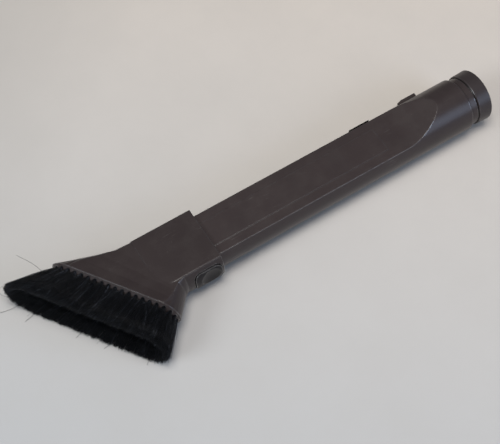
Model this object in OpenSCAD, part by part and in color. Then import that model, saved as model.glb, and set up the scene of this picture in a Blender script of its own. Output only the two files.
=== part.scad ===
// Vacuum crevice tool with a dusting brush head that slides along its flattened nozzle.
// X runs out of the wand socket, Y across the nozzle, Z up. Lengths are in millimetres.

/* [Tube and socket] */
// Radius of the socket that takes the wand
socket_r = 17.5; // [16.5:0.1:18.5]
// Depth of the socket from the mouth of the collar
socket_depth = 38; // [25:1:45]
// Wall of the round tube at the socket
tube_wall = 2.8; // [2.2:0.1:3.6]
// Step from the socket down to the duct behind it
duct_step = 0.5; // [0.3:0.1:2]
// Distance from the socket's mouth to the nozzle's tip, on the axis
tool_len = 291; // [282:1:300]

/* [Collar] */
// Wall of the collar ring at the mouth
collar_wall = 2.5; // [2:0.1:3.5]
// How much the ring's outside narrows towards its back edge
collar_taper = 0.35; // [0:0.05:0.5]
// Length of the collar ring
collar_len = 11.1; // [8:0.1:14]
// Wall of the neck that carries the ring
neck_wall = 1.1; // [0.9:0.1:1.3]
// Width of neck left bare behind the ring
neck_gap = 6.3; // [3:0.1:8]
// Thickness of the ring's lip across the mouth
collar_lip = 1; // [0.6:0.1:2]

/* [Flattened nozzle] */
// Height of the nozzle's flats above the axis
flat_z = 10.35; // [9.5:0.05:10.5]
// Wall behind the flats
flat_wall = 2; // [1.5:0.1:2.5]
// Where the flats end and the ramps up to the tube begin, from the mouth
ramp_start = 75; // [70:1:80]
// Slope of the ramps in degrees
ramp_deg = 20; // [16:1:26]
// Radius of the hollow between a flat and its ramp
ramp_blend_r = 40; // [20:1:60]
// Height of the raised slide panel on the flats
panel_h = 0.25; // [0.15:0.05:0.3]
// Width of the slide panel
panel_w = 20.6; // [14:0.1:26]
// Distance from the mouth to the slide panel's end
panel_end = 88; // [84:1:100]

/* [Detents and stop] */
// Height of the detent ribs above the tube
rib_h = 1; // [0.6:0.1:1.1]
// Height of the detent ribs across the side
rib_span = 18; // [12:1:18]
// Length of a detent rib
rib_len = 17; // [14:1:22]
// Width of the notch in a detent rib
notch_w = 2.4; // [1.6:0.1:3]
// Distance from the mouth to the notch that holds the head back
notch_x = 93; // [92:1:98]
// Travel of the brush head along the nozzle
head_travel = 150; // [120:1:150]
// Height of the stop tab above the tube
tab_h = 2.6; // [1.5:0.1:3]
// Distance from the mouth to the steep end of the stop tab
tab_x = 42; // [38:1:46]
// Length of the stop tab
tab_len = 16; // [10:1:20]

/* [Brush head sleeve] */
// Distance from the mouth to the sleeve's near end
sleeve_x = 234.5; // [230:0.5:240]
// Length of the parallel part of the sleeve
sleeve_len = 28; // [26:0.5:32]
// Depth of the sleeve's rounded sides beyond the round of the nozzle
sleeve_side = 4.7; // [4.5:0.1:5.7]
// Offset of the sleeve's sides towards the latch
sleeve_offset = 0.8; // [0:0.1:0.8]
// Height of the sleeve's flats above those of the nozzle
sleeve_roof = 2.65; // [2.45:0.05:3.6]
// Width of the chamfer along the edges of the sleeve's flats
sleeve_edge = 0.9; // [0.4:0.1:1.4]
// Gap between the nozzle and what slides along it
slide_gap = 0.3; // [0.25:0.05:0.4]

/* [Oblique brush mouth] */
// Angle of the mouth across the nozzle in degrees
mouth_deg = 34.7; // [30:0.1:40]
// Length of the mouth's outline
mouth_len = 98.2; // [92:0.2:102]
// Rise from the sleeve's flats to the lip of the mouth
mouth_rise = 2.4; // [2.2:0.1:3]
// Depth of the slanted face inside the lip that the tufts stand in
lip_slope = 3.4; // [3:0.1:3.4]
// Distance from the socket's mouth to the middle of the brush mouth
mouth_x = 306.4; // [303:0.1:311]
// Sideways offset of the middle of the brush mouth
mouth_y = -0.2; // [-2:0.1:3]
// Wall at the ends of the brush mouth
mouth_end_wall = 6.4; // [6:0.1:7]
// Distance from the sleeve to the bend where the far side flares
flare_far = 32; // [28:0.5:34]
// Distance from the sleeve to the bend where the near side flares
flare_near = 4; // [3:0.5:6]
// Wall of the flared hood
hood_wall = 2.1; // [1.6:0.1:2.1]

/* [Bristles] */
// Number of tufts round the mouth
tuft_count = 42; // [24:2:44]
// Radius of a tuft hole
tuft_hole_r = 1.4; // [1:0.05:1.4]
// Distance from the outline to the centres of the tuft holes
tuft_inset = 2.6; // [2.55:0.05:2.7]
// Depth of a tuft hole
tuft_depth = 3.6; // [2.8:0.1:3.8]
// Distance from the lip to the tips of the bottom bristles
bristle_reach = 29.2; // [26:0.2:33]
// How much shorter the top bristles reach
bristle_trim = 1.6; // [0:0.2:3]
// How far the tips at the ends are rounded back
bristle_round = 0.6; // [0:0.2:3]
// Half the thickness of a tuft at its tip
tuft_tip_t = 2.2; // [1.4:0.1:2.6]
// Mean heading of the bristles in degrees
bristle_deg = 21; // [15:1:28]
// Spread of the bristles from the middle to an end in degrees
bristle_fan = 27.5; // [20:0.5:32]
// How much further the far bristles spread than the near ones
bristle_skew = 3.5; // [0:0.5:6]
// How far the holes lean from square to the mouth towards the bristles' headings
hole_lean = 0.4; // [0:0.1:0.6]

/* [Release button] */
// Length of the button's pad
pad_len = 21; // [16:0.5:22]
// Height of the button's pad
pad_h = 18.5; // [14:0.5:19]
// How far the pad stands proud of the sleeve
pad_proud = 0.9; // [0.5:0.1:1.2]
// Depth of the finger dish in the pad
dish_depth = 2; // [1:0.1:2.2]
// Travel of the button
press_travel = 1; // [0.5:0.1:1.1]
// Distance from the sleeve's near end to the yoke
yoke_x = 5.5; // [4:0.5:8]
// Width of the yoke
yoke_w = 6; // [4:0.5:7]
// Thickness of the yoke's straps
yoke_t = 0.9; // [0.7:0.1:0.95]

/* [Hidden] */
$fn = 96;
eps = 0.05;
far = 400;
fit_gap = 0.05;

// Radii that follow from the socket and its walls
tube_r = socket_r + tube_wall;
duct_r = socket_r - duct_step;
neck_r = socket_r + neck_wall;
collar_r = socket_r + collar_wall;
collar_back_r = collar_r - collar_taper;
sleeve_r = tube_r + sleeve_side;

// Heights that follow from the flats and their running gap
sleeve_z = flat_z + sleeve_roof;
mouth_z = sleeve_z + mouth_rise;
panel_z = flat_z + panel_h;
bore_z = panel_z + slide_gap;
bore_ease = 0.1;
bore_r = tube_r + slide_gap + bore_ease;
rib_r = tube_r + rib_h;
channel_r = rib_r + slide_gap;
floor_z = -tube_r;

// Bodies of constant section along X
module along_x(x0, x1) {
    translate([x0, 0, 0]) rotate([90, 0, 90]) linear_extrude(x1 - x0) children();
}
module rod(r, x0, x1) {
    translate([x0, 0, 0]) rotate([0, 90, 0]) cylinder(r = r, h = x1 - x0);
}
module chord_disc(r, z) {
    intersection() {
        circle(r);
        square([far, 2 * z], center = true);
    }
}
// The same with a chamfer of width w on each edge of the flats
module edged_disc(r, z, w) {
    edge_deg = asin(z / r);
    slope = (90 + edge_deg) / 2;
    inset = w / 2 * tan((90 - edge_deg) / 2);
    reach = r * cos(edge_deg) * cos(slope) + z * sin(slope) - inset;
    top_y = (reach - z * sin(slope)) / cos(slope);
    side_y = reach / cos(slope);
    intersection() {
        circle(r);
        polygon([[top_y, z], [side_y, 0], [top_y, -z], [-top_y, -z], [-side_y, 0], [-top_y, z]]);
    }
}

// The outline of the nozzle seen from the side: two flats that ramp up to the tube
ramp_steps = 8;
ramp_foot = [for (i = [0:ramp_steps]) let (a = ramp_deg * i / ramp_steps)
    [ramp_blend_r * sin(a), ramp_blend_r * (1 - cos(a))]];
ramp_end = ramp_foot[ramp_steps] + 2 * tube_r * [cos(ramp_deg), sin(ramp_deg)];
function ramp_side(z, inset) = concat(
    [[-far, z]],
    [for (p = ramp_foot) [p[0] - ramp_start + inset * sin(ramp_deg), p[1] + z]],
    [[ramp_end[0] - ramp_start, ramp_end[1] + z], [far, ramp_end[1] + z]]);
module side_profile(z, inset = 0) {
    upper = ramp_side(z, inset);
    lower = [for (i = [len(upper) - 1:-1:0]) [upper[i][0], -upper[i][1]]];
    rotate([90, 0, 0]) translate([0, 0, -far / 2]) linear_extrude(far) polygon(concat(upper, lower));
}

// The slanted cut through the nozzle's tip, parallel to the brush mouth
module tip_side() {
    translate([-tool_len, 0, -far / 2]) rotate(mouth_deg) translate([0, -far / 2, 0]) cube(far);
}

module detent_rib(x) {
    difference() {
        intersection() {
            along_x(-x - rib_len / 2, -x + rib_len / 2) {
                intersection() {
                    circle(rib_r);
                    translate([tube_r - 2, -rib_span / 2]) square([4, rib_span]);
                }
            }
            rib_plan(x);
        }
        translate([-x - notch_w / 2, tube_r, -far / 2]) cube([notch_w, far, far]);
    }
}
// The rib's ramped ends, seen from above
module rib_plan(x) {
    end = rib_len / 2;
    crest = rib_len / 5;
    translate([-x, 0, -far / 2]) linear_extrude(far) polygon([
        [-end, tube_r - 1], [end, tube_r - 1], [end, tube_r], [crest, rib_r], [-crest, rib_r], [-end, tube_r]]);
}
// The stop tab: a curved ramp that rises towards the collar and drops steeply
tab_arc_r = (tab_len * tab_len + tab_h * tab_h) / (2 * tab_h);
tab_low = -5;
tab_high = 8;
module stop_tab() {
    intersection() {
        translate([0, 0, -far / 2]) linear_extrude(far) intersection() {
            translate([-tab_x - tab_len, tube_r - 2]) square([tab_len, tab_h + 2]);
            translate([-tab_x - eps, tube_r + tab_h - tab_arc_r]) circle(tab_arc_r, $fn = 360);
        }
        along_x(-tab_x - tab_len, -tab_x) intersection() {
            circle(tube_r + tab_h);
            translate([0, tab_low]) square([far, tab_high - tab_low]);
        }
    }
}

module nozzle() {
    neck_x = -collar_len - neck_gap;
    color("#4a4340") difference() {
        union() {
            intersection() {
                union() {
                    rotate([0, -90, 0]) translate([0, 0, -neck_x]) tube_blank();
                    rod(neck_r, neck_x - 1, -collar_lip - fit_gap);
                }
                side_profile(flat_z);
                tip_side();
            }
            intersection() {
                along_x(-far, -panel_end) square([panel_w, 2 * panel_z], center = true);
                tip_side();
            }
            detent_rib(notch_x);
            detent_rib(notch_x + head_travel);
            stop_tab();
        }
        rod(socket_r, -socket_depth, far);
        intersection() {
            rod(duct_r, -far, -socket_depth + eps);
            side_profile(flat_z - flat_wall, flat_wall);
        }
        neck_groove(-collar_len);
    }
}
// The round tube with its chamfered end, standing on the neck's step
tube_edge = 0.8;
module tube_blank() {
    rotate_extrude()
        polygon([[0, 0], [tube_r - tube_edge, 0], [tube_r, tube_edge], [tube_r, far], [0, far]]);
}
groove_w = 0.8;
groove_depth = 0.4;
module neck_groove(x) {
    difference() {
        rod(far, x - groove_w, x);
        rod(neck_r - groove_depth, x - 2 * groove_w, x + groove_w);
    }
}

ring_edge = 0.7;
ring_back_edge = 0.5;
module collar_ring() {
    color("#3f3a38") rotate([0, 90, 0]) rotate_extrude() polygon([
        [socket_r, 0], [collar_r - ring_edge, 0], [collar_r, -ring_edge],
        [collar_back_r, -collar_len + ring_back_edge], [collar_back_r - ring_back_edge, -collar_len],
        [neck_r + fit_gap, -collar_len], [neck_r + fit_gap, -collar_lip], [socket_r, -collar_lip]]);
}

// A ring of points round a rounded section: an arc of radius r at each end, between flats at z = h
side_steps = 12;
function side_arc(c, r, h, flip) = let (half = asin(min(1, h / r)))
    [for (i = [0:side_steps]) let (a = half * (1 - 2 * i / side_steps))
        [flip * (c + r * cos(a)), flip * r * sin(a)]];
function section_ring(half_len, r, h) =
    concat(side_arc(half_len - r, r, h, 1), side_arc(half_len - r, r, h, -1));
// The ring set upright on the line from its far end to its near end
function placed_ring(s, wall_end, wall_flat) =
    let (f = s[0], n = s[1], mid = (f + n) / 2, span = norm(n - f), dir = (n - f) / span)
    [for (p = section_ring(span / 2 - wall_end, s[2] - min(wall_end, wall_flat), s[3] - wall_flat))
        [mid[0] + dir[0] * p[0], mid[1] + dir[1] * p[0], p[1]]];
module loft(rings) {
    n = len(rings[0]);
    last = len(rings) - 1;
    sides = [for (k = [0:last - 1]) for (i = [0:n - 1]) for (t = [0, 1])
        let (a = k * n + i, b = k * n + (i + 1) % n)
        t == 0 ? [a, b, b + n] : [a, b + n, a + n]];
    polyhedron([for (r = rings) each r],
        concat([[for (i = [n - 1:-1:0]) i]], sides, [[for (i = [0:n - 1]) last * n + i]]));
}

// The brush mouth's outline in plan: middle, direction along it and outward normal
mouth_mid = [-mouth_x, mouth_y];
mouth_dir = [sin(mouth_deg), -cos(mouth_deg)];
mouth_out = [-cos(mouth_deg), -sin(mouth_deg)];
mouth_far = mouth_mid - mouth_dir * mouth_len / 2;
mouth_near = mouth_mid + mouth_dir * mouth_len / 2;

// The hood's sections from the sleeve to the mouth, each as far end, near end, side radius and half height.
// Its flats start a step below the sleeve's and rise to the lip, past which a slanted face holds the tufts.
hood_x = -sleeve_x - sleeve_len;
far_y = sleeve_offset + sleeve_r;
near_y = sleeve_offset - sleeve_r;
far_kink = [hood_x - flare_far, far_y + 0.6];
near_kink = [hood_x - flare_near, near_y - 0.65 * flare_near];
hood_step = 0.25;
function mix(a, b, t) = a + (b - a) * t;
function hood_r(t) = mix(sleeve_r - 1, mouth_z, t);
function hood_z(t) = mix(sleeve_z, mouth_z, t);
hood_sections = [
    [[hood_x, far_y - 2 * hood_step], [hood_x, near_y + 2 * hood_step], hood_r(0), sleeve_z - hood_step],
    [[hood_x - 0.53 * flare_far, far_y - hood_step], mix([hood_x, near_y], near_kink, 0.6), hood_r(0.35),
        sleeve_z - 1.1 * hood_step],
    [far_kink, near_kink, hood_r(0.64), sleeve_z - 0.8 * hood_step],
    [mix(far_kink, mouth_far, 0.3) - [0, 0.4], mix(near_kink, mouth_near, 0.34), hood_r(0.86), hood_z(0.05)],
    [mix(far_kink, mouth_far, 0.65) - [0, 0.3], mix(near_kink, mouth_near, 0.68), hood_r(0.98), hood_z(0.4)],
    [mouth_far, mouth_near, mouth_z, mouth_z],
    [mouth_far + (mouth_out + mouth_dir) * lip_slope, mouth_near + (mouth_out - mouth_dir) * lip_slope,
        mouth_z - lip_slope, mouth_z - lip_slope]];
lip = 5;
function cavity_wall(k) = k > lip ? mouth_end_wall - lip_slope : mix(hood_wall, mouth_end_wall, k / lip);
// The cavity's flats swell a little between the sleeve and the mouth
cavity_swell = 0.6;
mouth_ease = 0.15;
function cavity_z(k) = bore_z + mouth_ease + (k < lip ? cavity_swell * sin(45 * (k - 1)) : 0);
module hood_outside() {
    loft([for (s = hood_sections) placed_ring(s, 0, 0)]);
}
module hood_cavity() {
    past = mouth_out * 2;
    inner = [for (k = [1:lip + 1])
        placed_ring(hood_sections[k], cavity_wall(k), hood_sections[k][3] - cavity_z(k))];
    loft(concat(inner, [[for (p = inner[lip]) p + [past[0], past[1], 0]]]));
}

module sleeve_bore(x0, x1) {
    along_x(x0, x1) {
        chord_disc(bore_r, bore_z);
        intersection() {
            circle(channel_r);
            translate([0, -rib_span / 2 - slide_gap]) square([far, rib_span + 2 * slide_gap]);
        }
    }
}

// The release button's yoke: a flat band that rings the nozzle inside the sleeve
yoke_inner_z = panel_z + slide_gap;
yoke_outer_z = yoke_inner_z + yoke_t;
yoke_inner_r = channel_r;
yoke_side = 1.4;
yoke_outer_r = channel_r + yoke_side;
yoke_near_shift = press_travel - (rib_h - slide_gap);
yoke_x0 = -sleeve_x - yoke_x - yoke_w;
pad_gap = 0.3;
pad_set = 1.8;
pad_x0 = -sleeve_x - pad_set - pad_len;
pad_round = 5;
// The finger dish: an arc along the pad that is turned about a far axis across it
dish_place = 0.58;
dish_along_r = 15;
dish_across_r = 45;
module pad_outline(grow) {
    translate([pad_x0 - grow, -pad_h / 2 - grow]) square_round(pad_len + 2 * grow, pad_h + 2 * grow, pad_round);
}
module square_round(w, h, r) {
    translate([r, 0]) square([w - 2 * r, h]);
    translate([0, r]) square([w, h - 2 * r]);
    for (x = [r, w - r]) for (y = [r, h - r]) translate([x, y]) circle(r, $fn = 48);
}
module pad_block(grow, y0, y1) {
    translate([0, y1, 0]) rotate([90, 0, 0]) linear_extrude(y1 - y0) pad_outline(grow);
}
module yoke_hollow() {
    intersection() {
        union() {
            circle(yoke_inner_r);
            translate([-yoke_near_shift, 0]) circle(yoke_inner_r);
        }
        square([far, 2 * yoke_inner_z], center = true);
    }
}
module release_button() {
    back_y = -yoke_inner_r - yoke_near_shift;
    color("#56504e") {
        along_x(yoke_x0, yoke_x0 + yoke_w) difference() {
            chord_disc(yoke_outer_r, yoke_outer_z);
            yoke_hollow();
        }
        difference() {
            intersection() {
                pad_block(0, near_y - pad_proud - 1, back_y);
                translate([0, sleeve_offset, 0]) rod(sleeve_r + pad_proud, pad_x0 - 1, pad_x0 + pad_len + 1);
            }
            finger_dish();
        }
    }
}
module finger_dish() {
    translate([pad_x0 + pad_len * dish_place, near_y - pad_proud + dish_depth - dish_across_r, 0])
        rotate([0, 90, 0]) rotate_extrude() translate([dish_across_r - dish_along_r, 0]) circle(dish_along_r);
}
module yoke_pocket() {
    along_x(yoke_x0 - pad_gap, yoke_x0 + yoke_w + pad_gap) {
        intersection() {
            union() {
                circle(yoke_outer_r + slide_gap);
                translate([press_travel, 0]) circle(yoke_outer_r + slide_gap);
            }
            square([far, 2 * (yoke_outer_z + slide_gap)], center = true);
        }
    }
}

// The leaf spring that pushes the yoke back towards the pad
leaf_t = 0.25;
leaf_half = 4.6;
leaf_rise = 1.25;
leaf_r = (leaf_half * leaf_half + leaf_rise * leaf_rise) / (2 * leaf_rise);
leaf_w = yoke_w - 1.4;
leaf_y = yoke_outer_r;
module spring_pocket() {
    depth = leaf_y + leaf_rise + leaf_t;
    translate([yoke_x0 + (yoke_w - leaf_w) / 2 - pad_gap, 0, -leaf_half - 0.6])
        cube([leaf_w + 2 * pad_gap, depth, 2 * leaf_half + 1.2]);
}
module button_spring() {
    color("silver") along_x(yoke_x0 + (yoke_w - leaf_w) / 2, yoke_x0 + (yoke_w + leaf_w) / 2)
        intersection() {
            translate([leaf_y + leaf_rise - leaf_r, 0]) difference() {
                circle(leaf_r + leaf_t / 2 - eps);
                circle(leaf_r - leaf_t / 2 - eps);
            }
            translate([0, -leaf_half]) square([far, 2 * leaf_half]);
            translate([leaf_y + eps, -far / 2]) square([far, far]);
        }
}

module brush_head() {
    color("#4d4644") difference() {
        union() {
            hood_outside();
            sleeve_outside();
        }
        sleeve_bore(step_x - step_round, far);
        hood_cavity();
        yoke_pocket();
        spring_pocket();
        pad_block(pad_gap, near_y - 5, -bore_r + 2);
        for (i = [0:tuft_count - 1]) tuft_hole(i);
    }
}
// The sleeve's outside runs into the hood and ends there in a low step with one rounded corner
step_x = hood_x - 0.58 * flare_far;
step_round = 12;
step_near_y = near_y + 3;
module sleeve_outside() {
    intersection() {
        along_x(step_x, -sleeve_x) translate([sleeve_offset, 0]) edged_disc(sleeve_r, sleeve_z, sleeve_edge);
        translate([0, 0, -far / 2]) linear_extrude(far) {
            translate([step_x + step_round, near_y - step_round]) square([far, far]);
            translate([step_x - 1, step_near_y + step_round]) square([far, far]);
            translate([step_x + step_round, step_near_y + step_round]) circle(step_round);
        }
    }
}

// Tufts stand evenly round a stadium on the slanted face inside the lip
ring_r = mouth_z - tuft_inset;
ring_half = mouth_len / 2 - mouth_z;
ring_len = 4 * ring_half + 2 * PI * ring_r;
// Place on the stadium at distance s from the middle of the top run, as [along, up]
function ring_at(s) =
    s < ring_half ? [s, ring_r] :
    s < ring_half + PI * ring_r ? let (a = 90 - (s - ring_half) / ring_r * 180 / PI)
        [ring_half + ring_r * cos(a), ring_r * sin(a)] :
    s < 3 * ring_half + PI * ring_r ? [2 * ring_half + PI * ring_r - s, -ring_r] :
    s < 3 * ring_half + 2 * PI * ring_r ?
        let (a = 270 - (s - 3 * ring_half - PI * ring_r) / ring_r * 180 / PI)
        [-ring_half + ring_r * cos(a), ring_r * sin(a)] :
    [s - ring_len, ring_r];
function root(i) = ring_at(((i + 0.5) % tuft_count) * ring_len / tuft_count);
function end_share(i) = root(i)[0] / (ring_half + ring_r);
function plan_point(along) = mouth_mid + mouth_dir * along;
function heading(deg) = [-cos(deg), -sin(deg)];
function tip_deg(i) = let (s = end_share(i)) bristle_deg + bristle_fan * s - bristle_skew * s * s;
function tip_heading(i) = heading(tip_deg(i));
function hole_heading(i) = heading(mix(mouth_deg, tip_deg(i), hole_lean));
function root_point(i) = let (p = plan_point(root(i)[0]) + mouth_out * tuft_inset) [p[0], p[1], root(i)[1]];
tip_low = floor_z + tuft_tip_t;
tip_lift = 1.8;
tip_high = ring_r + tip_lift;
function tip_point(i) =
    let (p = root_point(i), d = tip_heading(i), t = (p[2] + ring_r) / (2 * ring_r),
        reach = bristle_reach - bristle_trim * t - bristle_round * pow(end_share(i), 4),
        l = (reach - tuft_inset) / cos(tip_deg(i) - mouth_deg))
    [p[0] + d[0] * l, p[1] + d[1] * l, mix(tip_low, tip_high, t)];
module tuft_hole(i) {
    d = hole_heading(i);
    translate(root_point(i)) rotate([0, 0, atan2(d[1], d[0])]) rotate([0, 90, 0])
        translate([0, 0, -tuft_depth]) cylinder(r = tuft_hole_r, h = tuft_depth + 3, $fn = 12);
}

// A tuft: a round root in its hole that fans out to a flat tip beside its neighbours' tips.
// Its section is fluted, like the strands of a bundle.
tuft_flutes = 7;
flute = 0.14;
tip_gap = 0.12;
function unit(v) = v / norm(v);
function bundle_ring(c, u, v, a, b, depth) = [for (k = [0:2 * tuft_flutes - 1])
    let (w = (k + 0.5) * 180 / tuft_flutes, s = k % 2 == 0 ? 1 : 1 - depth,
        p = c + u * a * s * cos(w) + v * b * s * sin(w))
    [p[0], p[1], max(p[2], floor_z)]];
function tuft_rings(i) =
    let (a = root_point(i), b = tip_point(i), h = hole_heading(i), hole = [h[0], h[1], 0],
        next = tip_point((i + 1) % tuft_count), prev = tip_point((i + tuft_count - 1) % tuft_count),
        go = unit(b - a), across = next - prev - go * ((next - prev) * go), side = unit(across),
        up = cross(go, side),
        root_side = unit(side - hole * (side * hole)), root_up = cross(hole, root_side),
        w = norm(across) / 4 - tip_gap, r = tuft_hole_r - fit_gap)
    [bundle_ring(a - hole * (tuft_depth - 1), root_side, root_up, r, r, 0),
     bundle_ring(a + hole * 0.4, root_side, root_up, r, r, flute / 2),
     bundle_ring(mix(a, b, 0.45) + (hole - go) * 1.5, side, up, mix(r, w, 0.5), mix(r, tuft_tip_t, 0.5), flute),
     bundle_ring(b, side, up, w, tuft_tip_t, flute)];
module tuft(i) {
    loft(tuft_rings(i));
}
function is_end(i) = abs(root(i)[0]) > ring_half;
module tufts(keep) {
    color("#1b1b20") for (i = [0:tuft_count - 1]) if (keep[i]) tuft(i);
}
all_tufts = [0:tuft_count - 1];
module tufts_top() {
    tufts([for (i = all_tufts) !is_end(i) && root(i)[1] > 0]);
}
module tufts_bottom() {
    tufts([for (i = all_tufts) !is_end(i) && root(i)[1] < 0]);
}
module tufts_near_end() {
    tufts([for (i = all_tufts) is_end(i) && root(i)[0] > 0]);
}
module tufts_far_end() {
    tufts([for (i = all_tufts) is_end(i) && root(i)[0] < 0]);
}
// The flat staple that pins each tuft at the bottom of its hole
staple_t = 0.3;
staple_len = 0.6;
module tuft_staples() {
    color("goldenrod") for (i = all_tufts) {
        d = hole_heading(i);
        translate(root_point(i)) rotate([0, 0, atan2(d[1], d[0])])
            translate([-tuft_depth + staple_t, -tuft_hole_r * 0.75, -staple_t / 2])
                cube([staple_len, tuft_hole_r * 1.5, staple_t]);
    }
}

nozzle();
collar_ring();
brush_head();
release_button();
button_spring();
tufts_top();
tufts_bottom();
tufts_near_end();
tufts_far_end();
tuft_staples();
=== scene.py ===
import math
import bpy
import numpy as np
from mathutils import Matrix, Vector


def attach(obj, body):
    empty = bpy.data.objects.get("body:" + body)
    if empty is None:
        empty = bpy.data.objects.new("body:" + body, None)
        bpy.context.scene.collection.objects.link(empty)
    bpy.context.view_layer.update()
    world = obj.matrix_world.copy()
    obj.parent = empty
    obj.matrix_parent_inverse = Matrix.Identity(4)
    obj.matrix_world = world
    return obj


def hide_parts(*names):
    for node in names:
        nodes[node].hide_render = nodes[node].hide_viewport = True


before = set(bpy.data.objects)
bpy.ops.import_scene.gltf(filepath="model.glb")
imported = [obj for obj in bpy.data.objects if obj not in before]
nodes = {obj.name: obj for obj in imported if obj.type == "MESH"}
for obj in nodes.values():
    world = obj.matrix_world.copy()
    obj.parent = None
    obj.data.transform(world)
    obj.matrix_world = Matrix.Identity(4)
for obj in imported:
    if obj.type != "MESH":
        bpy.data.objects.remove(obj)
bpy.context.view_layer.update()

# A crevice tool with a sliding dusting brush, lying on a pale table. Metres, +X out of the wand socket.
mm = 0.001
print("frame loaded:", len(nodes), "nodes")


# Camera: eye and aim in metres, roll in degrees about the line of sight
cameraView = {"eye": (-0.37984, -0.31836, 0.63851), "aim": (-0.2005, -0.00234, 0.0), "roll": -2.704, "lens": 75.3}


def placeCamera(view):
    eye = Vector(view["eye"])
    forward = (Vector(view["aim"]) - eye).normalized()
    level = forward.cross(Vector((0, 0, 1))).normalized()
    upright = level.cross(forward)
    turn = math.radians(view["roll"])
    right = level * math.cos(turn) + upright * math.sin(turn)
    up = right.cross(forward)
    data = bpy.data.cameras.new("camera")
    data.lens = view["lens"]
    data.sensor_width = 36
    data.clip_start = 0.01
    camera = bpy.data.objects.new("camera", data)
    camera.matrix_world = Matrix((right, up, -forward)).transposed().to_4x4() @ Matrix.Identity(4)
    camera.location = eye
    bpy.context.scene.collection.objects.link(camera)
    bpy.context.scene.camera = camera


placeCamera(cameraView)
print("camera placed")


# Small helpers for shader trees
def newGroup(name, inputs, outputs):
    group = bpy.data.node_groups.new(name, "ShaderNodeTree")
    for label, kind, value in inputs:
        socket = group.interface.new_socket(label, in_out="INPUT", socket_type="NodeSocket" + kind)
        if value is not None:
            socket.default_value = value
    for label, kind in outputs:
        group.interface.new_socket(label, in_out="OUTPUT", socket_type="NodeSocket" + kind)
    return group, group.nodes.new("NodeGroupInput"), group.nodes.new("NodeGroupOutput")


def addNode(tree, kind, inputs=None, **settings):
    made = tree.nodes.new("ShaderNode" + kind)
    for key, value in settings.items():
        setattr(made, key, value)
    for key, value in (inputs or {}).items():
        if hasattr(value, "is_output"):
            tree.links.new(value, made.inputs[key])
        else:
            made.inputs[key].default_value = value
    return made


def calc(tree, operation, a, b=0.0, c=0.0, clamp=False):
    return addNode(tree, "Math", {0: a, 1: b, 2: c}, operation=operation, use_clamp=clamp).outputs[0]


def ramp(tree, value, low, high):
    return addNode(tree, "MapRange", {"Value": value, "From Min": low, "From Max": high}).outputs[0]


def blendColor(tree, factor, first, second, mode="MIX"):
    made = addNode(tree, "Mix", {0: factor}, data_type="RGBA", blend_type=mode)
    for index, value in ((6, first), (7, second)):
        if hasattr(value, "is_output"):
            tree.links.new(value, made.inputs[index])
        else:
            made.inputs[index].default_value = (*value, 1)
    return made.outputs[2]


# Edge wear and painted shade: a mask that is 1 on the crown of an outside edge, broken up by noise, and a
# painted-shade mask for inside corners that ambient occlusion finds hidden
def makeEdgeWearAndShade():
    group, start, end = newGroup("edgeWearAndShade", [("Width", "Float", 0.0006), ("Breakup", "Float", 300.0)],
                                 [("Edge", "Float"), ("CreviceShade", "Float")])
    place = addNode(group, "NewGeometry")
    bevel = addNode(group, "Bevel", {"Radius": start.outputs["Width"]}, samples=6)
    facing = addNode(group, "VectorMath", {0: bevel.outputs[0], 1: place.outputs["Normal"]},
                     operation="DOT_PRODUCT").outputs["Value"]
    turned = ramp(group, calc(group, "SUBTRACT", 1.0, facing), 0.004, 0.10)
    open_ = addNode(group, "AmbientOcclusion", {"Distance": 0.0016}, samples=6).outputs["AO"]
    coords = addNode(group, "TexCoord")
    noise = addNode(group, "TexNoise", {"Vector": coords.outputs["Object"], "Scale": start.outputs["Breakup"],
                                        "Detail": 5.0, "Roughness": 0.65})
    patchy = ramp(group, noise.outputs[0], 0.36, 0.6)
    outside = calc(group, "MULTIPLY", turned, ramp(group, open_, 0.72, 0.92))
    group.links.new(calc(group, "MULTIPLY", outside, patchy), end.inputs["Edge"])
    # Painted shade: inside corners where ambient occlusion is low get a mask for a darker colour
    group.links.new(ramp(group, open_, 0.85, 0.45), end.inputs["CreviceShade"])
    return group


# Moulded grain: fine spark-eroded texture, with a slower unevenness beneath it
def makeMouldGrain():
    group, start, end = newGroup("mouldGrain", [("Scale", "Float", 2600.0)],
                                 [("Height", "Float"), ("Tone", "Float")])
    coords = addNode(group, "TexCoord")
    fine = addNode(group, "TexNoise", {"Vector": coords.outputs["Object"], "Scale": start.outputs["Scale"],
                                       "Detail": 3.0, "Roughness": 0.6})
    slow = addNode(group, "TexNoise", {"Vector": coords.outputs["Object"], "Scale": 26.0, "Detail": 2.0})
    group.links.new(calc(group, "MULTIPLY_ADD", slow.outputs[0], 0.5, fine.outputs[0]), end.inputs["Height"])
    group.links.new(slow.outputs[0], end.inputs["Tone"])
    return group


# Scuffs: thin pale rubs, mostly along the nozzle where the head slides
def makeScuffs():
    group, start, end = newGroup("scuffs", [("Amount", "Float", 0.5), ("Stretch", "Vector", (60.0, 900.0, 900.0))],
                                 [("Scuff", "Float")])
    coords = addNode(group, "TexCoord")
    warp = addNode(group, "TexNoise", {"Vector": coords.outputs["Object"], "Scale": 35.0}).outputs[1]
    bent = addNode(group, "VectorMath", {0: warp, 1: (0.004, 0.004, 0.004)}, operation="MULTIPLY").outputs[0]
    moved = addNode(group, "VectorMath", {0: coords.outputs["Object"], 1: bent}, operation="ADD").outputs[0]
    long = addNode(group, "VectorMath", {0: moved, 1: start.outputs["Stretch"]}, operation="MULTIPLY").outputs[0]
    lines = addNode(group, "TexNoise", {"Vector": long, "Scale": 1.0, "Detail": 4.0, "Roughness": 0.7})
    fields = addNode(group, "TexNoise", {"Vector": coords.outputs["Object"], "Scale": 48.0, "Detail": 2.0})
    thin = ramp(group, lines.outputs[0], 0.62, 0.72)
    where = ramp(group, fields.outputs[0], 0.5, 0.7)
    both = calc(group, "MULTIPLY", thin, where)
    group.links.new(calc(group, "MULTIPLY", both, start.outputs["Amount"], clamp=True), end.inputs["Scuff"])
    return group


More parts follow.
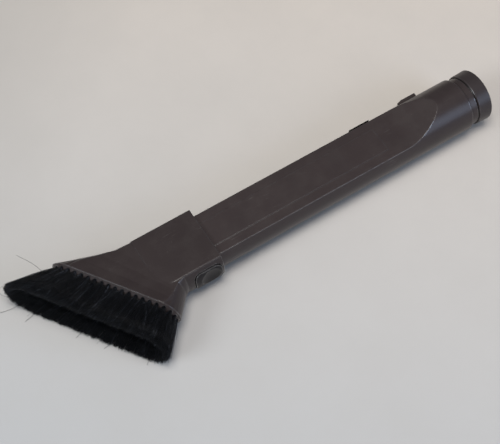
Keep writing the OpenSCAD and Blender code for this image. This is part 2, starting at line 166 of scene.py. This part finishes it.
# Dust: pale specks and a thin film that settle on what faces up
def makeDust():
    group, start, end = newGroup("dust", [("Amount", "Float", 0.5)], [("Dust", "Float")])
    coords = addNode(group, "TexCoord")
    place = addNode(group, "NewGeometry")
    up = addNode(group, "SeparateXYZ", {0: place.outputs["Normal"]}).outputs["Z"]
    cells = addNode(group, "TexVoronoi", {"Vector": coords.outputs["Object"], "Scale": 330.0})
    speck = ramp(group, cells.outputs["Distance"], 0.11, 0.04)
    chosen = ramp(group, addNode(group, "SeparateColor", {0: cells.outputs["Color"]}).outputs[0], 0.90, 0.93)
    specks = calc(group, "MULTIPLY", speck, chosen)
    film = addNode(group, "TexNoise", {"Vector": coords.outputs["Object"], "Scale": 60.0, "Detail": 6.0,
                                       "Roughness": 0.7}).outputs[0]
    haze = calc(group, "MULTIPLY", ramp(group, film, 0.45, 0.75), 0.25)
    total = calc(group, "MULTIPLY", calc(group, "ADD", specks, haze), ramp(group, up, 0.1, 0.9))
    group.links.new(calc(group, "MULTIPLY", total, start.outputs["Amount"], clamp=True), end.inputs["Dust"])
    return group


edgeWearAndShade = makeEdgeWearAndShade()
mouldGrain = makeMouldGrain()
scuffs = makeScuffs()
dust = makeDust()


def startMaterial(name):
    material = bpy.data.materials.new(name)
    material.use_nodes = True
    tree = material.node_tree
    tree.nodes.clear()
    shader = tree.nodes.new("ShaderNodeBsdfPrincipled")
    output = tree.nodes.new("ShaderNodeOutputMaterial")
    tree.links.new(shader.outputs[0], output.inputs["Surface"])
    return material, tree, shader


def useGroup(tree, group, **inputs):
    made = tree.nodes.new("ShaderNodeGroup")
    made.node_tree = group
    for key, value in inputs.items():
        made.inputs[key].default_value = value
    return made.outputs


# Satin moulded plastic with grain, edges lightened partly as wear and partly as painted highlight, painted shade in
# inside corners, scuffs and a little dust
def mouldedPlastic(name, s):
    material, tree, shader = startMaterial(name)
    grain = useGroup(tree, mouldGrain, Scale=s["grainScale"])
    wear = useGroup(tree, edgeWearAndShade, Width=s["edgeWidth"])
    edge = wear["Edge"]
    rub = useGroup(tree, scuffs, Amount=s["scuffs"])["Scuff"]
    film = useGroup(tree, dust, Amount=s["dust"])["Dust"]
    toned = blendColor(tree, ramp(tree, grain["Tone"], 0.3, 0.7), s["color"], s["colorWarm"])
    # Outside edges are lightened towards a pale colour: partly edge wear, partly a painted highlight along the edges
    wornAndHighlit = blendColor(tree, calc(tree, "MULTIPLY", edge, s["wear"]), toned, s["wearAndHighlightColor"])
    rubbed = blendColor(tree, rub, wornAndHighlit, s["scuffColor"])
    # Painted shade: inside corners, where ambient occlusion is low, are darkened towards the crevice shade colour
    creviceShaded = blendColor(tree, calc(tree, "MULTIPLY", wear["CreviceShade"], 0.85), rubbed, s["creviceShadeColor"])
    dusty = blendColor(tree, film, creviceShaded, s["dustColor"])
    tree.links.new(dusty, shader.inputs["Base Color"])
    rough = calc(tree, "MULTIPLY_ADD", grain["Tone"], s["roughSpread"], s["rough"])
    rough = calc(tree, "MULTIPLY_ADD", rub, 0.2, rough)
    rough = calc(tree, "MULTIPLY_ADD", edge, -0.13, rough)
    tree.links.new(calc(tree, "MULTIPLY_ADD", film, 0.3, rough, clamp=True), shader.inputs["Roughness"])
    shader.inputs["IOR"].default_value = 1.5
    shader.inputs["Specular IOR Level"].default_value = s["specular"]
    tree.links.new(calc(tree, "MULTIPLY", edge, s["polish"], clamp=True), shader.inputs["Coat Weight"])
    shader.inputs["Coat Roughness"].default_value = 0.12
    shader.inputs["Coat IOR"].default_value = 2.2
    round_ = addNode(tree, "Bevel", {"Radius": s["edgeRadius"]}, samples=8)
    bump = addNode(tree, "Bump", {"Strength": s["grain"], "Distance": 0.00005, "Height": grain["Height"],
                                  "Normal": round_.outputs[0]})
    tree.links.new(bump.outputs[0], shader.inputs["Normal"])
    return material


bodyPlastic = {"color": (0.036, 0.0270, 0.0268), "colorWarm": (0.041, 0.0303, 0.0296), "wearAndHighlightColor": (0.12, 0.112, 0.118),
               "scuffColor": (0.12, 0.11, 0.105), "dustColor": (0.30, 0.28, 0.25), "creviceShadeColor": (0.006, 0.005, 0.005),
               "rough": 0.28, "roughSpread": 0.07, "specular": 0.3, "grainScale": 2600.0, "grain": 0.35, "edgeWidth": 0.0011,
               "edgeRadius": 0.0011, "wear": 0.4, "polish": 2.5, "scuffs": 0.7, "dust": 0.14}
headPlastic = {**bodyPlastic, "wearAndHighlightColor": (0.10, 0.093, 0.098), "wear": 0.4, "color": (0.029, 0.0215, 0.0215), "colorWarm": (0.033, 0.0245, 0.0240), "scuffs": 0.5,
               "edgeRadius": 0.0010}
collarPlastic = {**bodyPlastic, "wear": 0.3, "polish": 0.4, "color": (0.033, 0.0255, 0.026), "colorWarm": (0.038, 0.030, 0.030), "rough": 0.34,
                 "edgeRadius": 0.0006}
buttonPlastic = {**bodyPlastic, "specular": 0.2, "color": (0.011, 0.0095, 0.0110), "colorWarm": (0.013, 0.0115, 0.0125), "rough": 0.36,
                 "grainScale": 1900.0, "grain": 0.4, "edgeRadius": 0.0008}


# Bright spring steel, and the brassy wire of the staples
def wireMetal(name, color, rough):
    material, tree, shader = startMaterial(name)
    grain = useGroup(tree, mouldGrain, Scale=5200.0)
    tone = blendColor(tree, ramp(tree, grain["Tone"], 0.3, 0.7), color, tuple(0.82 * c for c in color))
    tree.links.new(tone, shader.inputs["Base Color"])
    shader.inputs["Metallic"].default_value = 1.0
    tree.links.new(calc(tree, "MULTIPLY_ADD", grain["Tone"], 0.12, rough), shader.inputs["Roughness"])
    bump = addNode(tree, "Bump", {"Strength": 0.2, "Distance": 0.00002, "Height": grain["Height"]})
    tree.links.new(bump.outputs[0], shader.inputs["Normal"])
    return material


# Black nylon: a few clumps of bristles catch the light more than the rest
def bristleNylon(s):
    material, tree, shader = startMaterial("bristleNylon")
    tone = addNode(tree, "Attribute", attribute_name="tone").outputs["Fac"]
    coords = addNode(tree, "TexCoord")
    patch = addNode(tree, "TexNoise", {"Vector": coords.outputs["Object"], "Scale": 700.0, "Detail": 3.0}).outputs[0]
    light = calc(tree, "MULTIPLY", tone, ramp(tree, patch, 0.35, 0.7))
    tree.links.new(blendColor(tree, light, s["color"], s["paintedHighlightColor"]), shader.inputs["Base Color"])
    tree.links.new(calc(tree, "MULTIPLY_ADD", patch, 0.2, s["rough"]), shader.inputs["Roughness"])
    shader.inputs["IOR"].default_value = 1.4
    shader.inputs["Specular IOR Level"].default_value = 0.25
    return material


def dress(name, material):
    item = nodes[name]
    if not item.material_slots:
        item.data.materials.append(material)
    for place in item.material_slots:
        place.material = material


dress("nozzle", mouldedPlastic("nozzlePlastic", bodyPlastic))
dress("brush_head", mouldedPlastic("headPlastic", headPlastic))
dress("collar_ring", mouldedPlastic("collarPlastic", collarPlastic))
dress("release_button", mouldedPlastic("buttonPlastic", buttonPlastic))
dress("button_spring", wireMetal("springSteel", (0.62, 0.62, 0.63), 0.25))
dress("tuft_staples", wireMetal("stapleWire", (0.72, 0.56, 0.30), 0.35))
print("plastics and metals dressed")


# The brush mouth: the same driving sizes as the construction, in millimetres and degrees
mouth = {"angle": 34.7, "length": 98.2, "halfHeight": 15.4, "x": -306.4, "y": -0.2, "inset": 2.6, "floor": -20.3}
tuft = {"count": 42, "holeRadius": 1.35, "depth": 2.6, "reach": 29.2, "trim": 1.6, "round": 0.6, "tipThick": 2.2,
        "heading": 21.0, "fan": 27.5, "skew": 3.5, "holeLean": 0.4, "lift": 1.8}
ringRadius = mouth["halfHeight"] - mouth["inset"]
ringHalf = mouth["length"] / 2 - mouth["halfHeight"]
ringLength = 4 * ringHalf + 2 * math.pi * ringRadius
pitch = ringLength / tuft["count"]


def mix(a, b, share):
    return a + (b - a) * share


def unit(v):
    return v / np.linalg.norm(v, axis=-1, keepdims=True)


# Places on the ring of tufts at distances from the middle of its top run, as along and up
def ringAt(distance):
    arc = math.pi * ringRadius
    distance = np.mod(distance, ringLength)
    nearTurn = math.pi / 2 - (distance - ringHalf) / ringRadius
    farTurn = 1.5 * math.pi - (distance - 3 * ringHalf - arc) / ringRadius
    parts = [distance < ringHalf, distance < ringHalf + arc, distance < 3 * ringHalf + arc,
             distance < 3 * ringHalf + 2 * arc]
    along = np.select(parts, [distance, ringHalf + ringRadius * np.cos(nearTurn), 2 * ringHalf + arc - distance,
                              -ringHalf + ringRadius * np.cos(farTurn)], distance - ringLength)
    up = np.select(parts, [ringRadius + 0 * distance, ringRadius * np.sin(nearTurn), -ringRadius + 0 * distance,
                           ringRadius * np.sin(farTurn)], ringRadius)
    return along, up


def flatWay(turn):
    return np.stack((-np.cos(turn), -np.sin(turn), 0 * turn), axis=-1)


# Roots, directions out of the holes and tips of bristles at places on the ring
def bristleLines(distance):
    along, up = ringAt(distance)
    share = along / (ringHalf + ringRadius)
    face = math.radians(mouth["angle"])
    root = np.stack((mouth["x"] + math.sin(face) * along, mouth["y"] - math.cos(face) * along, up), axis=-1)
    root = root + flatWay(np.full_like(along, face)) * mouth["inset"]
    go = np.radians(tuft["heading"] + tuft["fan"] * share - tuft["skew"] * share ** 2)
    height = (up + ringRadius) / (2 * ringRadius)
    reach = tuft["reach"] - tuft["trim"] * height - tuft["round"] * share ** 4 - mouth["inset"]
    tip = root + flatWay(go) * (reach / np.cos(go - face))[..., None]
    tip[..., 2] = mix(mouth["floor"] + tuft["tipThick"], ringRadius + tuft["lift"], height)
    return root, flatWay(mix(face, go, tuft["holeLean"])), tip


# One mesh of thin three-sided strands from their paths, shaped (strands, points, 3), in millimetres
def strandMesh(name, paths, radius, tone, material):
    count, points, _ = paths.shape
    run = unit(np.gradient(paths, axis=1))
    side = unit(np.cross(run, np.array((0.13, 0.21, 0.97))))
    other = np.cross(run, side)
    taper = np.linspace(1.0, 0.6, points)[None, :, None]
    rings = []
    for k in range(3):
        turn = 2 * math.pi * k / 3
        rings.append(paths + (side * math.cos(turn) + other * math.sin(turn)) * radius[:, None, None] * taper)
    corners = np.stack(rings, axis=2)
    corners[..., 2] = np.maximum(corners[..., 2], mouth["floor"])
    base = (np.arange(count) * points * 3)[:, None, None]
    step = (np.arange(points - 1) * 3)[None, :, None]
    k = np.arange(3)[None, None, :]
    first = base + step + k
    second = base + step + (k + 1) % 3
    quads = np.stack((first, second, second + 3, first + 3), axis=3).reshape(-1, 4)
    start = base[:, 0, 0]
    last = start + (points - 1) * 3
    caps = np.concatenate((np.stack((start + 2, start + 1, start), axis=1), np.stack((last, last + 1, last + 2), axis=1)))
    mesh = bpy.data.meshes.new(name)
    mesh.from_pydata((corners.reshape(-1, 3) * mm).tolist(), [], quads.tolist() + caps.tolist())
    mesh.shade_smooth()
    shade = mesh.attributes.new("tone", "FLOAT", "POINT")
    shade.data.foreach_set("value", np.repeat(tone, points * 3).astype(np.float32))
    mesh.materials.append(material)
    made = bpy.data.objects.new(name, mesh)
    bpy.context.scene.collection.objects.link(made)
    return made


bristles = {"perTuft": 300, "atEnds": 1.5, "clumps": 40, "radius": 0.115, "spread": 0.95, "spreadAtEnds": 1.25, "bow": 0.25, "loose": 0.3, "uneven": 2.4,
            "flare": 0.55, "stray": 0.03, "fray": 0.5, "color": (0.0028, 0.0032, 0.0046), "paintedHighlightColor": (0.10, 0.11, 0.135),
            "rough": 0.38}


# The bristles of one tuft leave the hole as a round bundle, in clumps that spread over their neighbours' tips
def tuftPaths(index, random):
    s = bristles
    middle = (index + 0.5) * pitch
    root, out, _ = bristleLines(np.array([middle]))
    root, out = root[0], out[0]
    atEnd = abs(ringAt(middle)[0]) > ringHalf
    count, clumps = int(s["perTuft"] * (s["atEnds"] if atEnd else 1)), s["clumps"]
    spread = s["spreadAtEnds"] if atEnd else s["spread"]
    clump = random.integers(0, clumps, count)
    across = random.normal(0, spread, clumps)[clump] + random.normal(0, 0.10, count)
    over = random.uniform(-1, 1, clumps)[clump] * 0.8 + random.normal(0, 0.16, count)
    over = np.clip(over, -1, 1)
    ahead = random.normal(0, s["uneven"] * 0.15, clumps)[clump] - random.exponential(s["uneven"] * 0.5, count)
    place = middle + across * pitch
    _, _, tip = bristleLines(place)
    before, after = bristleLines(place - 0.5)[2], bristleLines(place + 0.5)[2]
    run = unit(tip - root)
    side = unit(after - before - run * np.sum((after - before) * run, axis=1, keepdims=True))
    lift = np.cross(run, side)
    end = tip + lift * (over * tuft["tipThick"])[:, None] + run * ahead[:, None]
    angle = np.arctan2(over, across / spread / 1.5) + random.normal(0, 0.5, count)
    reach = np.sqrt(random.uniform(0, 1, count)) * tuft["holeRadius"]
    sideIn = unit(side - out * np.sum(side * out, axis=1, keepdims=True))
    liftIn = np.cross(out, sideIn)
    spot = (np.cos(angle) * reach)[:, None] * sideIn + (np.sin(angle) * reach)[:, None] * liftIn
    inside = root + spot - out * tuft["depth"]
    face = root + spot + out * 0.3
    wild = random.uniform(0, 1, count) < s["stray"]
    end = end + random.normal(0, 1, (count, 3)) * np.where(wild, 1.4, s["fray"])[:, None]
    bow = random.normal(0, s["bow"], (clumps, 3))[clump] + random.normal(0, s["loose"], (count, 3))
    go = unit(bristleLines(np.array([middle]))[2][0] - root)
    reachOut = end - face
    aside = reachOut - go * (reachOut @ go)[:, None]
    steps = np.array((0.0, 0.09, 0.28, 0.62, 1.0))[None, :, None]
    straight = face[:, None, :] + reachOut[:, None, :] * steps
    curve = straight + aside[:, None, :] * (steps ** s["flare"] - steps) + bow[:, None, :] * np.sin(math.pi * steps)
    # Painted highlights: some clumps, and about one bristle in seventeen, get a higher tone, which colours them
    # lighter as if they caught the light
    bright = random.uniform(0, 1, count) > 0.94
    tone = random.uniform(0, 1, clumps)[clump] ** 4 * 0.12 + bright * random.uniform(0.3, 1.0, count)
    return np.concatenate((inside[:, None, :], curve), axis=1), tone


def bristleGroup(name, node, keep, material, seed, lowest=mouth["floor"]):
    random = np.random.default_rng(seed)
    along, up = ringAt((np.arange(tuft["count"]) + 0.5) * pitch)
    made = [tuftPaths(index, random) for index in range(tuft["count"]) if keep(along[index], up[index])]
    paths = np.concatenate([paths for paths, _ in made])
    paths[..., 2] = np.maximum(paths[..., 2], lowest)
    tone = np.concatenate([tone for _, tone in made])
    radius = bristles["radius"] * (random.uniform(0.8, 1.1, len(paths)) + 0.9 * tone)
    strands = strandMesh(name, paths, radius, tone, material)
    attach(strands, "head")
    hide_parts(node)
    print(name, len(paths), "bristles")


nylon = bristleNylon(bristles)
bristleGroup("bristlesTop", "tufts_top", lambda a, u: abs(a) <= ringHalf and u > 0, nylon, 11, lowest=11.0)
bristleGroup("bristlesBottom", "tufts_bottom", lambda a, u: abs(a) <= ringHalf and u < 0, nylon, 12)
bristleGroup("bristlesNearEnd", "tufts_near_end", lambda a, u: a > ringHalf, nylon, 13)
bristleGroup("bristlesFarEnd", "tufts_far_end", lambda a, u: a < -ringHalf, nylon, 14)


# Stray hairs round the brush: points on each, in millimetres, from where it leaves the bundle to its tip
strayHairs = (
    ((-342.4, 31.8, 12.0), (-342.8, 35.4, 12.5), (-343.4, 39.9, 12.5), (-346.0, 46.1, 11.5), (-351.6, 56.8, 10.0)),
    ((-365.2, 35.5, -16.0), (-370.6, 36.5, -18.0), (-379.5, 39.7, -20.0)),
    ((-356.6, 25.2, -17.0), (-360.8, 25.1, -18.5), (-367.8, 24.1, -20.0)),
    ((-334.4, -4.1, -17.0), (-338.9, -4.6, -19.0), (-343.4, -5.6, -20.0)),
    ((-322.7, -22.9, -17.0), (-326.8, -22.8, -19.0), (-331.0, -23.1, -20.0)),
    ((-314.5, -26.0, 13.5), (-316.6, -27.5, 14.0), (-321.3, -30.9, 15.0)),
    ((-283.5, -39.2, -2.0), (-283.6, -43.8, -3.0), (-285.6, -47.2, -4.0), (-288.3, -49.6, -6.0)),
    ((-308.0, -46.5, -18.0), (-309.4, -47.4, -19.5), (-311.9, -49.0, -20.0)),
    ((-372.9, 44.5, -15.0), (-373.4, 47.8, -14.0), (-373.6, 50.1, -13.0)))
hair = {"points": 18, "radius": 0.17, "smooth": 6}


def makeStrayHairs(s):
    holes, out, _ = bristleLines((np.arange(tuft["count"]) + 0.5) * pitch)
    paths = []
    for points in strayHairs:
        marks = np.array(points)
        near = np.argmin(np.linalg.norm(holes - marks[0], axis=1))
        marks = np.concatenate(([holes[near] - out[near] * tuft["depth"], holes[near]], marks))
        gone = np.concatenate(([0], np.cumsum(np.linalg.norm(np.diff(marks, axis=0), axis=1))))
        even = np.linspace(0, gone[-1], s["points"])
        path = np.stack([np.interp(even, gone, marks[:, k]) for k in range(3)], axis=1)
        for _ in range(s["smooth"]):
            path[1:-1] = (path[:-2] + 2 * path[1:-1] + path[2:]) / 4
        paths.append(path)
    paths = np.array(paths)
    count = len(paths)
    # The stray hairs get a tone of 0.3, which mixes in some of the painted highlight colour
    hairs = strandMesh("strayHairs", paths, np.full(count, s["radius"]), np.full(count, 0.3), nylon)
    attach(hairs, "head")
    print("strayHairs", count, "bristles")


makeStrayHairs(hair)


# Table and light
table = {"paintedCoolLight": (0.465, 0.472, 0.476), "paintedWarmLight": (0.69, 0.615, 0.54), "shade": (0.40, 0.385, 0.36), "speck": (0.20, 0.18, 0.16), "size": 3.0, "height": mouth["floor"] * mm}


def makeTable(s):
    material, tree, shader = startMaterial("tableTop")
    coords = addNode(tree, "TexCoord")
    place = addNode(tree, "SeparateXYZ", {0: coords.outputs["Object"]})
    # Painted light on the table: cooler and dimmer towards -X and -Y, warmer and brighter towards +X and +Y
    across = calc(tree, "MULTIPLY_ADD", place.outputs["X"], 0.9, calc(tree, "MULTIPLY", place.outputs["Y"], 0.8))
    paintedLightShift = ramp(tree, across, -0.45, 0.22)
    color = blendColor(tree, paintedLightShift, s["paintedCoolLight"], s["paintedWarmLight"])
    # Painted shade: the table is darkened towards the -X, +Y corner
    corner = calc(tree, "MULTIPLY_ADD", place.outputs["X"], -0.8, calc(tree, "MULTIPLY", place.outputs["Y"], 0.9))
    color = blendColor(tree, calc(tree, "MULTIPLY", ramp(tree, corner, 0.33, 0.6), 0.7), color, s["shade"])
    mottle = addNode(tree, "TexNoise", {"Vector": coords.outputs["Object"], "Scale": 14.0, "Detail": 6.0,
                                        "Roughness": 0.65}).outputs[0]
    color = blendColor(tree, calc(tree, "MULTIPLY", ramp(tree, mottle, 0.4, 0.7), 0.14), color, (0.43, 0.41, 0.38))
    cells = addNode(tree, "TexVoronoi", {"Vector": coords.outputs["Object"], "Scale": 15.0})
    chosen = ramp(tree, addNode(tree, "SeparateColor", {0: cells.outputs["Color"]}).outputs[0], 0.6, 0.62)
    speck = calc(tree, "MULTIPLY", ramp(tree, cells.outputs["Distance"], 0.013, 0.006), chosen)
    color = blendColor(tree, calc(tree, "MULTIPLY", speck, 0.7), color, s["speck"])
    tree.links.new(color, shader.inputs["Base Color"])
    shader.inputs["Roughness"].default_value = 0.7
    shader.inputs["Specular IOR Level"].default_value = 0.2
    ripple = addNode(tree, "TexNoise", {"Vector": coords.outputs["Object"], "Scale": 220.0, "Detail": 4.0}).outputs[0]
    bump = addNode(tree, "Bump", {"Strength": 0.15, "Distance": 0.0003, "Height": ripple})
    tree.links.new(bump.outputs[0], shader.inputs["Normal"])
    half = s["size"] / 2
    mesh = bpy.data.meshes.new("table")
    mesh.from_pydata([(-half, -half, 0), (half, -half, 0), (half, half, 0), (-half, half, 0)], [], [(0, 1, 2, 3)])
    mesh.materials.append(material)
    made = bpy.data.objects.new("table", mesh)
    made.location.z = s["height"]
    bpy.context.scene.collection.objects.link(made)


makeTable(table)


def areaLight(name, place, aim, size, power, color):
    data = bpy.data.lights.new(name, "AREA")
    data.shape = "RECTANGLE"
    data.size, data.size_y = size
    data.energy = power
    data.color = color
    made = bpy.data.objects.new(name, data)
    made.location = place
    made.rotation_euler = (Vector(aim) - Vector(place)).to_track_quat("-Z", "Y").to_euler()
    bpy.context.scene.collection.objects.link(made)


middle = (-0.2, 0.0, 0.0)
areaLight("ceiling", (-0.3, -0.18, 1.6), middle, (0.7, 0.7), 18.5, (1.0, 0.965, 0.925))
areaLight("windowFar", (-1.85, -0.05, 1.3), middle, (1.0, 0.8), 17, (0.86, 0.93, 1.0))
areaLight("windowNear", (0.6, -1.15, 0.68), middle, (1.0, 0.8), 9.0, (0.60, 0.74, 1.0))

world = bpy.data.worlds.new("room")
bpy.context.scene.world = world
world.use_nodes = True
background = world.node_tree.nodes["Background"]
background.inputs["Color"].default_value = (0.92, 0.96, 1.0, 1)
background.inputs["Strength"].default_value = 0.14
bpy.context.scene.view_settings.view_transform = "Standard"
print("table and light set")
